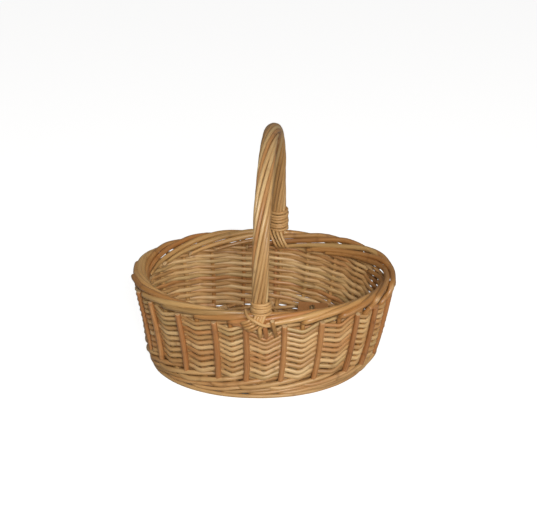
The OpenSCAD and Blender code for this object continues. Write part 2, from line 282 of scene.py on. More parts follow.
    def build(self, name, node, mat):
        me = bpy.data.meshes.new(name)
        v = np.vstack(self.v) * MM
        me.from_pydata(v.tolist(), [], self.f)
        for an, kind, data, w in (("straight", "FLOAT_VECTOR", self.st, 3), ("rod", "FLOAT_COLOR", self.rod, 4)):
            at_ = me.attributes.new(an, kind, "POINT")
            d = np.vstack(data).astype(np.float32).reshape(-1)
            at_.data.foreach_set("vector" if w == 3 else "color", d)
        me.polygons.foreach_set("use_smooth", [True] * len(me.polygons))
        me.update()
        ob = bpy.data.objects.new(name, me)
        bpy.context.scene.collection.objects.link(ob)
        me.materials.append(mat)
        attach(ob, "root")
        if node:
            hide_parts(*([node] if isinstance(node, str) else node))
        return ob


# ---------------------------------------------------------------- materials
def lin(c):
    return tuple(x / 12.92 if x <= 0.04045 else ((x + 0.055) / 1.055) ** 2.4 for x in c)


def rgb(*c):
    return lin([x / 255.0 for x in c]) + (1.0,)


class Nodes:
    def __init__(self, name):
        self.m = bpy.data.materials.new(name)
        self.m.use_nodes = True
        self.t = self.m.node_tree
        self.t.nodes.clear()
        self.out = self.t.nodes.new("ShaderNodeOutputMaterial")

    def new(self, kind, **kw):
        n = self.t.nodes.new(kind)
        for k, v in kw.items():
            setattr(n, k, v)
        return n

    def link(self, a, b):
        self.t.links.new(a, b)

    def math(self, op, a, b=None, clamp=False):
        n = self.new("ShaderNodeMath", operation=op, use_clamp=clamp)
        for i, x in enumerate((a, b)):
            if x is None:
                continue
            if isinstance(x, (int, float)):
                n.inputs[i].default_value = x
            else:
                self.link(x, n.inputs[i])
        return n.outputs[0]

    def mix(self, fac, a, b, mode="MIX"):
        n = self.new("ShaderNodeMix", data_type="RGBA", blend_type=mode, clamp_factor=True)
        for i, x in ((0, fac), (6, a), (7, b)):
            if isinstance(x, (int, float)):
                n.inputs[i].default_value = x
            elif isinstance(x, tuple):
                n.inputs[i].default_value = x
            else:
                self.link(x, n.inputs[i])
        return n.outputs[2]

    def noise(self, vec, scale, detail=3.0, rough=0.55, dist=0.0):
        mp = self.new("ShaderNodeMapping")
        mp.inputs["Scale"].default_value = scale
        self.link(vec, mp.inputs["Vector"])
        n = self.new("ShaderNodeTexNoise")
        n.inputs["Scale"].default_value = 1.0
        n.inputs["Detail"].default_value = detail
        n.inputs["Roughness"].default_value = rough
        n.inputs["Distortion"].default_value = dist
        self.link(mp.outputs[0], n.inputs["Vector"])
        return n.outputs[0]

    def ramp(self, fac, stops, interp="LINEAR"):
        n = self.new("ShaderNodeValToRGB")
        n.color_ramp.interpolation = interp
        e = n.color_ramp.elements
        while len(e) < len(stops):
            e.new(0.5)
        for x, (p, c) in zip(e, stops):
            x.position = p
            x.color = c if len(c) == 4 else tuple(c) + (1.0,)
        self.link(fac, n.inputs[0])
        return n.outputs[0]

    def maprange(self, x, a, b, c, d):
        n = self.new("ShaderNodeMapRange")
        for i, v in ((1, a), (2, b), (3, c), (4, d)):
            n.inputs[i].default_value = v
        self.link(x, n.inputs[0])
        return n.outputs[0]


def willow(name, tones, rough=0.40, streak=0.20, blotch=0.35, speck=0.55, green=0.10, coat=0.12, bump=0.30):
    """tones: four colours from the darkest rod to the palest."""
    g = Nodes(name)
    st = g.new("ShaderNodeAttribute", attribute_name="straight", attribute_type="GEOMETRY").outputs["Vector"]
    rod = g.new("ShaderNodeAttribute", attribute_name="rod", attribute_type="GEOMETRY")
    sep = g.new("ShaderNodeSeparateColor")
    g.link(rod.outputs["Color"], sep.inputs[0])
    tone, hue, cut = sep.outputs[0], sep.outputs[1], sep.outputs[2]
    knot = rod.outputs["Alpha"]
    large = g.noise(st, (70, 70, 14), 2.0)
    mid = g.noise(st, (260, 260, 40), 3.0)
    fibre = g.noise(st, (1500, 1500, 26), 4.0, 0.62)
    fine = g.noise(st, (3600, 3600, 120), 2.0, 0.6)
    f = g.math("ADD", tone, g.math("MULTIPLY", g.math("SUBTRACT", large, 0.5), blotch * 2.2))
    f = g.math("ADD", f, g.math("MULTIPLY", g.math("SUBTRACT", mid, 0.5), blotch * 0.9), clamp=True)
    col = g.ramp(f, [(0.0, tones[0]), (0.35, tones[1]), (0.7, tones[2]), (1.0, tones[3])])
    # a few rods lean to grey-green
    gm = g.math("MULTIPLY", g.maprange(hue, 0.80, 1.0, 0.0, 1.0), green * 4.0, clamp=True)
    col = g.mix(gm, col, rgb(168, 148, 98))
    wm = g.math("MULTIPLY", g.maprange(hue, 0.0, 0.22, 1.0, 0.0), 0.45, clamp=True)
    col = g.mix(wm, col, rgb(190, 118, 62))
    # lengthwise fibre
    col = g.mix(g.math("MULTIPLY", g.maprange(fibre, 0.42, 0.72, 0.0, 1.0), streak * 2.2, clamp=True), col, (0.30, 0.15, 0.055, 1), "MULTIPLY") if False else \
        g.mix(g.math("MULTIPLY", g.maprange(fibre, 0.45, 0.75, 0.0, 1.0), streak * 1.9, clamp=True), col, rgb(122, 78, 40))
    col = g.mix(g.math("MULTIPLY", g.maprange(fibre, 0.50, 0.25, 0.0, 1.0), streak * 1.2, clamp=True), col, rgb(236, 206, 158))
    # specks and knots
    vo = g.new("ShaderNodeTexVoronoi")
    vo.inputs["Scale"].default_value = 1.0
    mp = g.new("ShaderNodeMapping")
    mp.inputs["Scale"].default_value = (330, 330, 85)
    g.link(st, mp.inputs["Vector"])
    g.link(mp.outputs[0], vo.inputs["Vector"])
    gate = g.noise(st, (120, 120, 30), 1.0)
    sp = g.math("MULTIPLY", g.maprange(vo.outputs["Distance"], 0.16, 0.05, 0.0, 1.0), g.maprange(gate, 0.56, 0.66, 0.0, 1.0), clamp=True)
    col = g.mix(g.math("MULTIPLY", sp, speck), col, rgb(92, 54, 26))
    kn = g.math("MULTIPLY", knot, g.maprange(mid, 0.35, 0.65, 0.25, 1.0), clamp=True)
    col = g.mix(g.math("MULTIPLY", kn, 0.55), col, rgb(112, 66, 32))
    # pale cut ends, mottled with a darker tone; the same mix paints the highlight spots on the stake knuckles
    endc = g.mix(g.maprange(fine, 0.35, 0.7, 0.0, 1.0), rgb(232, 204, 156), rgb(196, 152, 100))
    col = g.mix(g.math("MULTIPLY", cut, 0.85), col, endc)
    p = g.new("ShaderNodeBsdfPrincipled")
    g.link(col, p.inputs["Base Color"])
    ro = g.math("ADD", g.math("MULTIPLY", g.math("SUBTRACT", fibre, 0.5), 0.35), rough)
    ro = g.math("ADD", ro, g.math("MULTIPLY", cut, 0.3), clamp=True)
    g.link(ro, p.inputs["Roughness"])
    p.inputs["Specular IOR Level"].default_value = 0.42
    p.inputs["Coat Weight"].default_value = coat
    p.inputs["Coat Roughness"].default_value = 0.32
    h = g.math("ADD", g.math("MULTIPLY", fibre, 0.7), g.math("MULTIPLY", fine, 0.3))
    h = g.math("ADD", h, g.math("MULTIPLY", mid, 0.8))
    b = g.new("ShaderNodeBump")
    b.inputs["Strength"].default_value = bump
    b.inputs["Distance"].default_value = 0.00035
    g.link(h, b.inputs["Height"])
    g.link(b.outputs[0], p.inputs["Normal"])
    g.link(p.outputs[0], g.out.inputs["Surface"])
    return g.m


M_weaver = willow("willow_pale", [rgb(152, 108, 64), rgb(188, 142, 88), rgb(208, 166, 110), rgb(222, 186, 132)], rough=0.40, green=0.12)
M_rib = willow("willow_rib", [rgb(152, 96, 51), rgb(176, 116, 65), rgb(190, 130, 75), rgb(202, 146, 89)], rough=0.36, green=0.0, streak=0.24, coat=0.18)
M_stake = willow("willow_stake", [rgb(146, 96, 49), rgb(176, 122, 65), rgb(196, 146, 85), rgb(212, 168, 107)], rough=0.36, green=0.12, coat=0.18)
M_foot = willow("willow_foot", [rgb(154, 112, 66), rgb(186, 142, 88), rgb(206, 164, 108), rgb(218, 182, 128)], rough=0.42, green=0.14)
M_handle = willow("willow_handle", [rgb(156, 113, 68), rgb(184, 141, 88), rgb(202, 161, 106), rgb(216, 181, 128)], rough=0.36, green=0.12, coat=0.2)
M_bind = willow("willow_binding", [rgb(154, 106, 56), rgb(188, 138, 80), rgb(208, 162, 104), rgb(220, 180, 122)], rough=0.40, green=0.10)
M_base = willow("willow_base", [rgb(138, 92, 50), rgb(168, 118, 68), rgb(188, 140, 86), rgb(202, 160, 106)], rough=0.48, green=0.12, coat=0.05)


def card_material():
    g = Nodes("kraft_card")
    tc = g.new("ShaderNodeTexCoord").outputs["Object"]
    a = g.noise(tc, (900, 900, 900), 4.0, 0.6)
    b = g.noise(tc, (2600, 500, 900), 3.0, 0.6)
    c = g.noise(tc, (60, 60, 60), 2.0)
    col = g.mix(g.maprange(a, 0.35, 0.7, 0.0, 1.0), rgb(164, 112, 66), rgb(184, 134, 84))
    col = g.mix(g.math("MULTIPLY", g.maprange(b, 0.55, 0.75, 0.0, 1.0), 0.4, clamp=True), col, rgb(132, 88, 50))
    col = g.mix(g.math("MULTIPLY", c, 0.3), col, rgb(150, 100, 58))
    p = g.new("ShaderNodeBsdfPrincipled")
    g.link(col, p.inputs["Base Color"])
    p.inputs["Roughness"].default_value = 0.82
    p.inputs["Specular IOR Level"].default_value = 0.25
    bu = g.new("ShaderNodeBump")
    bu.inputs["Strength"].default_value = 0.25
    bu.inputs["Distance"].default_value = 0.0002
    g.link(g.math("ADD", a, b), bu.inputs["Height"])
    g.link(bu.outputs[0], p.inputs["Normal"])
    g.link(p.outputs[0], g.out.inputs["Surface"])
    return g.m


def eyelet_material():
    g = Nodes("eyelet_brass")
    tc = g.new("ShaderNodeTexCoord").outputs["Object"]
    a = g.noise(tc, (700, 700, 700), 4.0, 0.6)
    p = g.new("ShaderNodeBsdfPrincipled")
    g.link(g.mix(g.maprange(a, 0.4, 0.65, 0.0, 1.0), rgb(150, 134, 104), rgb(196, 182, 146)), p.inputs["Base Color"])
    p.inputs["Metallic"].default_value = 1.0
    g.link(g.maprange(a, 0.3, 0.7, 0.28, 0.5), p.inputs["Roughness"])
    bu = g.new("ShaderNodeBump")
    bu.inputs["Strength"].default_value = 0.15
    bu.inputs["Distance"].default_value = 0.0001
    g.link(a, bu.inputs["Height"])
    g.link(bu.outputs[0], p.inputs["Normal"])
    g.link(p.outputs[0], g.out.inputs["Surface"])
    return g.m


def twine_material():
    g = Nodes("twine")
    st = g.new("ShaderNodeAttribute", attribute_name="straight", attribute_type="GEOMETRY").outputs["Vector"]
    a = g.noise(st, (5200, 5200, 1600), 3.0, 0.65)
    p = g.new("ShaderNodeBsdfPrincipled")
    g.link(g.mix(g.maprange(a, 0.35, 0.7, 0.0, 1.0), rgb(168, 140, 96), rgb(206, 182, 134)), p.inputs["Base Color"])
    p.inputs["Roughness"].default_value = 0.9
    bu = g.new("ShaderNodeBump")
    bu.inputs["Strength"].default_value = 0.5
    bu.inputs["Distance"].default_value = 0.0002
    g.link(a, bu.inputs["Height"])
    g.link(bu.outputs[0], p.inputs["Normal"])
    g.link(p.outputs[0], g.out.inputs["Surface"])
    return g.m


# ---------------------------------------------------------------- base
bx, by = -foot_left * (1 - 8.0 / 60), -foot_front * (1 - 8.0 / z_kink)
pc = Piece()
for k, (y, x) in enumerate(((0.0, base_half + 92), (-9.5, 112.0), (9.5, 112.0))):
    y = y + by
    pc.add([[bx - x, y, base_z, 3.0], [bx - x * 0.5, y, base_z, 4.4], [bx, y, base_z, 4.75], [bx + x * 0.5, y, base_z, 4.4], [bx + x, y, base_z, 3.0]], sides=14, seed=100 + k, ds=4, wobble=0.15, flat=0.66)
pc.build("V_base_long_sticks", "base_long_sticks", M_base)
cross_x = [base_half * 1.5 * math.cos(math.radians(t)) for t in (45, 67.5, 90, 112.5, 135)]
pc = Piece()
for k, x in enumerate(cross_x):
    x = x + bx
    pc.add([[x, y + by, base_z, r] for y, r in ((-98, 3.7), (-50, 4.0), (-14, 4.2), (0, 4.6), (14, 4.2), (50, 4.0), (98, 3.7))], sides=14, seed=110 + k, ds=4, wobble=0.2)
pc.build("V_base_cross_sticks", "base_cross_sticks", M_base)


def crossings(r):
    """The sixteen angles at which a round of radius r meets a base stick, with the lift that clears it."""
    ax = base_half + 0.93 * r
    out = []
    for x in cross_x:
        t = math.degrees(math.acos(max(-1, min(1, x / ax))))
        out += [(t, 6.2), (360 - t, 6.2)]
    a = math.degrees(math.asin(min(0.999, 9.5 / r)))
    out += [(0.0, 4.8), (180.0, 4.8), (a, 4.8), (180 - a, 4.8), (180 + a, 4.8), (360 - a, 4.8)]
    return sorted(out)


base_turns = 12
r_in, r_out = 12.6, b_foot - 2.4
for k in range(2):
    marks = []          # (angle, lift) at every stick the rod crosses
    for n in range(base_turns):
        rn = r_in + (r_out - r_in) * (n + 0.5) / base_turns
        for m, (t, lift) in enumerate(crossings(rn)):
            o = (1 if (m + n) % 2 == 0 else -1) * (1 if k == 0 else -1)
            marks.append((t + 360.0 * n, lift * o * (1.0 if rn > 26 else 0.8)))
    fine = [marks[0]]
    for (t0, l0), (t1, l1) in zip(marks, marks[1:]):
        gap = t1 - t0
        m = int(gap // 8)
        for i in range(1, m + 1):
            f = i / (m + 1.0)
            if gap > 22:
                near = l0 * max(0, 1 - f * gap / 9.0) + l1 * max(0, 1 - (1 - f) * gap / 9.0)
                fine.append((t0 + gap * f, near + 1.1 * math.sin((t0 + gap * f) * 0.35 + k * 3.1)))
            else:
                fine.append((t0 + gap * f, l0 * (0.5 + 0.5 * math.cos(math.pi * f)) + l1 * (0.5 - 0.5 * math.cos(math.pi * f))))
        fine.append((t1, l1))
    path = []
    for t, lift in fine:
        f = (t - fine[0][0]) / (360.0 * base_turns)
        r = r_in + (r_out - r_in) * min(1, f + k * 0.5 / base_turns)
        tr = math.radians(t + 180.0 * k * 0)
        path.append([bx + (base_half + 0.93 * r) * math.cos(tr), by + r * math.sin(tr), base_z + lift, 2.45 - 0.3 * f])
    pc = Piece()
    pc.add(path, sides=9, seed=130 + k, ds=4.2, wobble=0.12, tone=0.45 + 0.2 * k)
    pc.build("V_base_weaver_%d" % (k + 1), "base_weaver_%d" % (k + 1), M_base)

# ---------------------------------------------------------------- foot and upsett
pc = Piece()
ring = []
for i in range(88):
    t = 2 * math.pi * i / 88
    ring.append(sway((a_foot + 4.5) * math.cos(t), (b_foot + 4.5) * math.sin(t), 0.0)[:2] + [foot_rod / 2, 2.75])
pc.add(ring, sides=14, seed=140, ds=4, closed=True, wobble=0.18, floor=0.0, tone=0.55)
pc.build("V_foot_ring", "foot_ring", M_foot)


def waling(j, s0, periods, z0, dz, r, reach, seed, lifted=-0.15):
    rg = np.random.default_rng(seed)
    out = []
    periods += 1 if j == 0 else 0       # the first rod runs on to meet the third
    for i in range(4 * periods + 1):
        f = (i % 4) / 4.0
        u = -reach if f == 0 else (reach + 0.9 if f == 0.5 else reach - 0.6)
        z = z0 + dz * (lifted if f == 0 else (-0.58 if f == 0.25 else (-0.06 if f == 0.5 else 0.56))) + rg.uniform(-0.5, 0.5)
        out.append(at(s0 + j + 3 * i / 4.0, u + rg.uniform(-0.25, 0.25), z, r * (1 - 0.10 * i / (4.0 * periods))))
    return out


for j in range(3):
    pc = Piece()
    pc.add(waling(j, 9, 7, 9.8, 5.2, foot_rod / 2 * 1.04, 5, 150 + j), sides=12, seed=150 + j, ds=3.2, wobble=0.12, tone=(0.42, 0.66, 0.3)[j])
    pc.build("V_foot_wale_%d" % (j + 1), "foot_wale_%d" % (j + 1), M_foot)
for j in range(3):
    pc = Piece()
    pc.add(waling(j, 12.6, 7, 19.4, 8.6, 6.2 / 2, 5.6, 160 + j, 0.36), sides=14, seed=160 + j, ds=3.2, wobble=0.12, tone=(0.62, 0.38, 0.5)[j], flat=lambda P: 1.05 + 0.38 * np.clip(P[:, 1] / 40.0, 0, 1))
    pc.build("V_upsett_wale_%d" % (j + 1), "upsett_wale_%d" % (j + 1), M_foot)


# ---------------------------------------------------------------- stakes laid down as the border
def stake_path(k):
    r, e = stake_d / 2 * 0.96, border_rod / 2
    rg = np.random.default_rng(900 + k % 22)
    j = lambda a: rg.uniform(-a, a)
    m = -0.13 if k % 11 == 0 else 0.0
    s = k + m
    h = rim_h
    lift = j(0.5)
    kink = h - 13.6 + j(0.6)
    steep = steepness.get(k % 22, 0.25)
    mix = lambda lo, hi: lo + (hi - lo) * steep
    foot = [at(s, -13, base_z, r), at(s, -3, base_z + 0.5, r), at(s, 0, z_kink, r), at(s, 0, 70, r * 0.98)]
    tuck = {14: -2.0, 15: -3.6, 16: -3.2}.get(k % 22, 0.0)
    if k % 22 == 0:         # beside the handle this one is pushed out in front of the top rows
        foot += [at(s, 0.5, h - 42, r), at(s, 6.2, h - 32, r), at(s, 8.6, h - 25, r), at(s, 7.4, h - 18, r), at(k + 0.05, 5.4, kink + 0.4, e * 1.0)]
    elif k % 22 in (3, 4):  # these two lean over before they turn, and stand proud of the border
        dl, uk, dz = {3: (0.33, 5.4, -7.4), 4: (0.46, 5.0, -9.6)}[k % 22]
        foot += [at(s, 0.2, h - 30, r), at(k + 0.1, 1.6, h - 21, r * 1.02), at(k + dl * 0.72, uk - 1.2, h + dz - 5.6, r * 1.12), at(k + dl, uk, h + dz, r * 1.24),
                 at(k + dl + 0.16, uk - 0.9, h + dz + 3.2, e * 1.04)]
        if k % 22 == 3:
            return foot + [at(k + 0.8, 1.4, h - 3.0, e), at(k + 1.25, -2.2, h - 2.6, e), at(k + 2.0, -4.6, h - 3.8, e), at(k + 2.7, -5.4, h - 5.6, e),
                           at(k + 3.4, -5.8, h - 7.4, e), at(k + 4.2, -8.0, h - 11.0, e * 0.97), at(k + 5.2, -10.6, h - 15.4, (e + border_end / 2) / 2), at(k + 6.3, -11.3, h - 21, border_end / 2 * 1.05)]
        return foot + [at(k + 1.0, 3.4, h - 4.2, e), at(k + 2.0, 1.9, h - 3.0, e), at(k + 3.0, 2.4, h - 1.2, e * 0.97), at(k + 3.7, 0.4, h - 2.6, e * 0.95),
                       at(k + 4.4, -5.4, h - 7.0, e * 0.9), at(k + 5.1, -10.4, h - 13.0, (e + border_end / 2) / 2), at(k + 5.8, -11.3, h - 19.4, border_end / 2 * 1.05)]
    elif k % 22 in (15, 16, 17):    # at the left end they turn right at the top
        du, dd = {15: (-4.0, -3.4), 16: (-3.2, -2.0), 17: (-0.6, -0.4)}[k % 22]
        foot += [at(s, 0.2, h - 30, r), at(s, 1.2 + du * 0.3, h - 16, r * 1.02), at(k + 0.01, 3.2 + du * 0.7, h - 9.0 + dd, r * 1.16), at(k + 0.07, 4.4 + du, h - 4.6 + dd, r * 1.18), at(k + 0.3, 4.0 + du * 0.8, h - 3.6 + dd * 0.6, e)]
        return foot + [at(k + 0.9, 3.0 + tuck, h - 4.0 + lift, e), at(k + 1.5, 0.2 + tuck, h - 3.4, e), at(k + 2.1, -3.4 + tuck * 0.8, h - 4.2, e * 0.97), at(k + 2.7, -7.6 + tuck * 0.3, h - 6.6, e * 0.95),
                       at(k + 3.4, -10.2, h - 11.4, e * 0.92), at(k + 4.2, -11.2, h - 16.6, (e + border_end / 2) / 2), at(k + 5, -11.3, h - 22.4, border_end / 2 * 1.05)]
    else:
        foot += [at(s, 0.2, h - 26, r * 0.98), at(s, 0.5, kink - 4.2, r * 1.0), at(k + 0.015, 1.9 + 1.6 * steep, kink - 0.9, r * 1.22), at(k + 0.085, 3.5 + 1.3 * steep, kink + 0.7, e * 1.08)]
    high = lambda q: 3.0 * ease(q % 22, 5.6, 7.0) * (1 - ease(q % 22, 8.8, 10.2))
    return foot + [
            at(k + 0.3, 4.2, kink + mix(1.8, 2.9) + lift * 0.5 + 0.2 * high(k), e), at(k + mix(1, 0.9), mix(3.7, 2.6) + j(.3) + tuck, h - mix(7.9, 5.2) + lift + 0.8 * high(k + 1), e * 1.0),
            at(k + mix(1.6, 1.5), mix(0.6, -2.2) + j(.3) + tuck, h - mix(4.4, 3.9) + lift * 0.3 + high(k + 1.5), e * 1.0),
            at(k + mix(2.1, 2.0), mix(-3.5, -6.2) + j(.3) + tuck * 0.8, h - mix(4.0, 5.2) + 0.6 * high(k + 2), e * 0.97),
            at(k + 2.7, -7.9 + j(.3) - steep, h - mix(6.3, 8.6) + lift * 0.6, e * 0.95),
            at(k + 3.4, -10.2 + j(.3), h - mix(11.0, 12.6) + lift * 0.6, e * 0.92), at(k + 4.2, -11.2 + j(.3), h - mix(16.4, 17.4) + lift * 0.6 + j(.3), (e + border_end / 2) / 2),
            at(k + 5 + j(.15), -11.3, h - 22.4 + lift * 0.6 + j(.4), border_end / 2 * 1.05)]


steepness = {0: 0.5, 1: 0.9, 2: 1.0, 3: 1.0, 4: 0.9, 5: 0.8, 6: 0.6, 16: 0.7, 17: 0.5, 18: 0.2, 19: 0.0, 20: 0.1, 21: 0.2}
stake_tone = np.random.default_rng(77).uniform(0.15, 0.95, 22)
for name, a, b in (("front", 20, 25), ("right", 4, 8), ("back", 9, 13), ("left", 14, 19)):
    pc = Piece()
    for k in range(a, b + 1):
        kk = k % 22
        # painted highlights on the stake knuckles: strong on stakes 3 and 4, weak on stake 17
        highlight_spot = {3: (3.35, 9.5, rim_h - 5.6), 4: (4.48, 9.2, rim_h - 8.0), 17: (17.05, 9.0, rim_h - 3.0)}.get(kk)
        pc.add(stake_path(kk), sides=14, seed=200 + kk, ds=2.0, wobble=0.12, tone=float(stake_tone[kk]), knots=0.006, cut=(0.1, 0.9),
               kink_highlight=[at(*highlight_spot) + [4.2, 0.75 if kk < 10 else 0.25]] if highlight_spot else ())
    pc.build("V_stakes_" + name, "stakes_" + name, M_stake)

# ---------------------------------------------------------------- ribs
rib_tone = np.random.default_rng(55).uniform(0.1, 0.9, 22)
for name, a, b in (("front", 19, 24), ("right", 3, 7), ("back", 8, 13), ("left", 14, 18)):
    pc = Piece()
    for i in range(a, b + 1):
        i = i % 22
        s = i + 0.5
        rg = np.random.default_rng(1200 + i)
        top = rim_h - 17.5
        lo_z = z_kink - 1 + rg.uniform(-0.8, 0.4)
        r = rib_d / 2 * rg.uniform(0.96, 1.03)
        path = [at(s, rib_u + 0.3, lo_z, r), at(s, rib_u + 0.2, 45, r), at(s, rib_u + 0.2, 80, r * 0.99)]
        if i in laid_ribs:
            path += [at(s, rib_u, top - 5, r * 0.98), at(s - 0.02, rib_u, top - 1.2, r * 1.0), at(s - 0.08, rib_u, top + 0.6, r * 0.95),
                     at(s - 0.22, rib_u - 0.3, top + 0.9, r * 0.86), at(s - 0.40, rib_u - 1.0, top + 0.6, r * 0.78)]
        else:
            path += [at(s, rib_u, top - 6, r * 0.98), at(s, rib_u - 0.1, top - (0.5 if i != 18 else 0.8), r * 0.97)]
        pc.add(path, sides=16, seed=300 + i, ds=2.6, wobble=0.22, tone=float(rib_tone[i]), hue=0.5, knots=0.012, cut=(0.15, 0.12))
    pc.build("V_ribs_" + name, "ribs_" + name, M_rib)

# ---------------------------------------------------------------- siding
bays = 20
weave_tone = np.random.default_rng(31).uniform(0.35, 0.95, 22)
# how far the rows are pushed down where they pass a stake
press = {0: 4.2, 1: 3.6, 2: 3.0, 3: 2.6, 4: 1.8, 5: 1.4, 20: 0.6, 21: 1.6, 19: 0.8, 18: 1.0}


def pressed(s, z):
    k = int(math.floor(s + 0.5))
    d = press.get(k % 22, 0.9)
    f = max(0.0, 1 - 2.1 * abs(s - k))
    if k % 22 == 0:
        d += 3.6 * ease(z, 80, 116)
    return d * f * (0.3 + 0.7 * ease(z, 27, 48))


def weaver_path(j):
    out = []
    for i in range(4 * bays + 1):
        q = i / (4.0 * bays)
        r = (weaver_butt + (weaver_tip - weaver_butt) * q) / 2
        side = -1 if (i // 4) % 2 == 0 else 1
        nxt = -side
        reach = stake_d / 2 + r - 0.35
        ph = i % 4
        s = j + i / 4.0
        mid = -1.0
        if ph == 0:
            u = side * reach
        elif ph == 2:
            u = mid
        else:
            near = side if ph == 1 else nxt
            u = mid + (near * reach - mid) * 0.47
        z = siding_z + siding_rise * ((1 + siding_ease) * q - siding_ease * q * q)
        z += 0.34 * math.sin(1.7 * s + 0.09 * z) + 0.24 * math.sin(3.9 * s + 0.05 * z + 1.0)
        z -= 3.2 * far(s) * (1 - ease(z, 28, 50))
        out.append(at(s, u, z - (0.36 + 0.14 * right_end(s)) * u - pressed(s, z), r * 1.0))
    return out


def right_end(s):
    s = s % 22
    return ease(s, 5.2, 6.6) * (1 - ease(s, 8.6, 10.2))


def far(s):
    s = s % 22
    return ease(s, 6.0, 8.0) * (1 - ease(s, 14.0, 15.5))


def fullness(P):
    x, y = P[:, 0] / 160.0, P[:, 1] / 120.0
    back = np.clip(y * 2.0 + 0.4, 0, 1)
    return 1.22 + 0.10 * back + 0.13 * back * np.clip(x * 2.2 - 0.9, 0, 1)


for j in range(22):
    pc = Piece()
    pc.add(weaver_path(j), sides=10, seed=400 + j, ds=2.8, wobble=0.14, tone=float(weave_tone[j]), knots=0.006, cut=(0.5, 0.5), flat=fullness, oval=0.02)
    pc.build("V_weaver_%02d" % (j + 1), "weaver_%02d" % (j + 1), M_weaver)

# ---------------------------------------------------------------- handle
wrap_r = (core_d + wrap_rod) / 2
arch_h = handle_h - wrap_r - wrap_rod / 2 - arch_z
leg_z = rim_h + 1
leg = arch_z - leg_z
arc_len = math.pi * math.sqrt((arch_r ** 2 + arch_h ** 2) / 2)
bow_len = 2 * leg + arc_len


def bow(q):
    """Centre and outward direction along the bow: q 0 at the front foot, 1 at the back foot."""
    d = q * bow_len
    if d < leg:
        return -arch_r, leg_z + d, (-1.0, 0.0)
    if d > bow_len - leg:
        return arch_r, leg_z + bow_len - d, (1.0, 0.0)
    g = math.pi * (d - leg) / arc_len
    y, z = -arch_r * math.cos(g), arch_z + arch_h * math.sin(g)
    o = (-math.cos(g) * arch_h, math.sin(g) * arch_r)
    n = math.hypot(*o)
    return y, z, (o[0] / n, o[1] / n)


pc = Piece()
path = [[handle_x + 5.8, -wall_b(34) - 0.3, 34, 3.0], [handle_x + 5.8, -wall_b(90) - 0.3, 90, 3.1], [handle_x + 6.2, -wall_b(100) - 5.2, 101, 3.4], [handle_x + 6.2, -wall_b(109) - 8.4, 110, 3.4], [handle_x + 5.0, -wall_b(118) - 6.6, 119, 3.3]]
for i in range(1, 32):
    y, z, o = bow(i / 32.0)
    path.append([handle_x, y, z, core_d / 2])
path += [[handle_x - 3.6, wall_b(106) + 0.3, 106, 3.1], [handle_x - 3.6, wall_b(34) + 0.3, 34, 3.1]]
pc.add(path, sides=14, seed=500, ds=4, wobble=0.0, tone=0.35)
pc.build("V_handle_core", "handle_core", M_rib)
wrap_tone = np.random.default_rng(12).uniform(0.2, 1.0, 10)
for j in range(10):
    rg = np.random.default_rng(600 + j)
    path = []
    n = 72
    a1, a2, p1, p2 = rg.uniform(2, 6), rg.uniform(0, 6), rg.uniform(0, 6), rg.uniform(0, 6)
    for i in range(n + 1):
        q = -0.012 + 1.024 * i / n
        qq = min(1, max(0, q))
        y, z, o = bow(qq)
        d = min(q, 1 - q) * bow_len
        pinch = 1 - 0.08 * math.exp(-(max(d, 0) / 16.0) ** 2)
        lean = -1.6 * math.exp(-(max(q * bow_len, 0) / 60.0) ** 2)
        g = math.radians(36 * j - 360 * wrap_turns * q + 3.0 * math.sin(a1 * 3 * q + p1))
        R = wrap_r * pinch + 0.45 * math.sin(17 * q + p2)
        extra = (q - qq) * bow_len
        zz = z + (extra if q < 0 else -extra)
        path.append([handle_x + lean + R * math.cos(g), y + R * math.sin(g) * o[0], zz + R * math.sin(g) * o[1], wrap_rod / 2 * 1.03 * (1 - 0.05 * q)])
    pc = Piece()
    pc.add(path, sides=14, seed=600 + j, ds=2.8, wobble=0.10, tone=float(wrap_tone[j]), knots=0.006, ref=(1, 0, 0), cut=(0.5, 0.5))
    pc.build("V_handle_rod_%02d" % (j + 1), "handle_rod_%02d" % (j + 1), M_handle)


# binding
def lash(side, turns, z0, d, rise, seed):
    R = wrap_r + wrap_rod / 2 - 0.9 + d / 2
    out = []
    n = int(turns * 24)
    rg = np.random.default_rng(seed)
    for i in range(n + 1):
        a = 2 * math.pi * i / 24.0
        z = z0 + rise * i / 24.0 + 0.5 * math.sin(a * 0.61 + 1) + side * 0.9 * math.sin(a)
        rr = R + 0.35 * math.sin(a * 1.37) + (0.25 if i % 2 else 0)
        out.append([handle_x + rr * math.cos(a), side * arch_r + rr * math.sin(a), z, d / 2])
    return out


pc = Piece()
pc.add(lash(-1, 5.2, rim_h - 2.2, 3.6, 3.35, 1), sides=12, seed=701, ds=2.2, wobble=0.12, tone=0.75)
pc.build("V_lash_front", "lash_front", M_bind)
pc = Piece()
pc.add(lash(1, 7.2, rim_h + 2.4, 4.3, 4.3, 2), sides=12, seed=702, ds=2.2, wobble=0.2, tone=0.7)
pc.build("V_lash_back", "lash_back", M_bind)


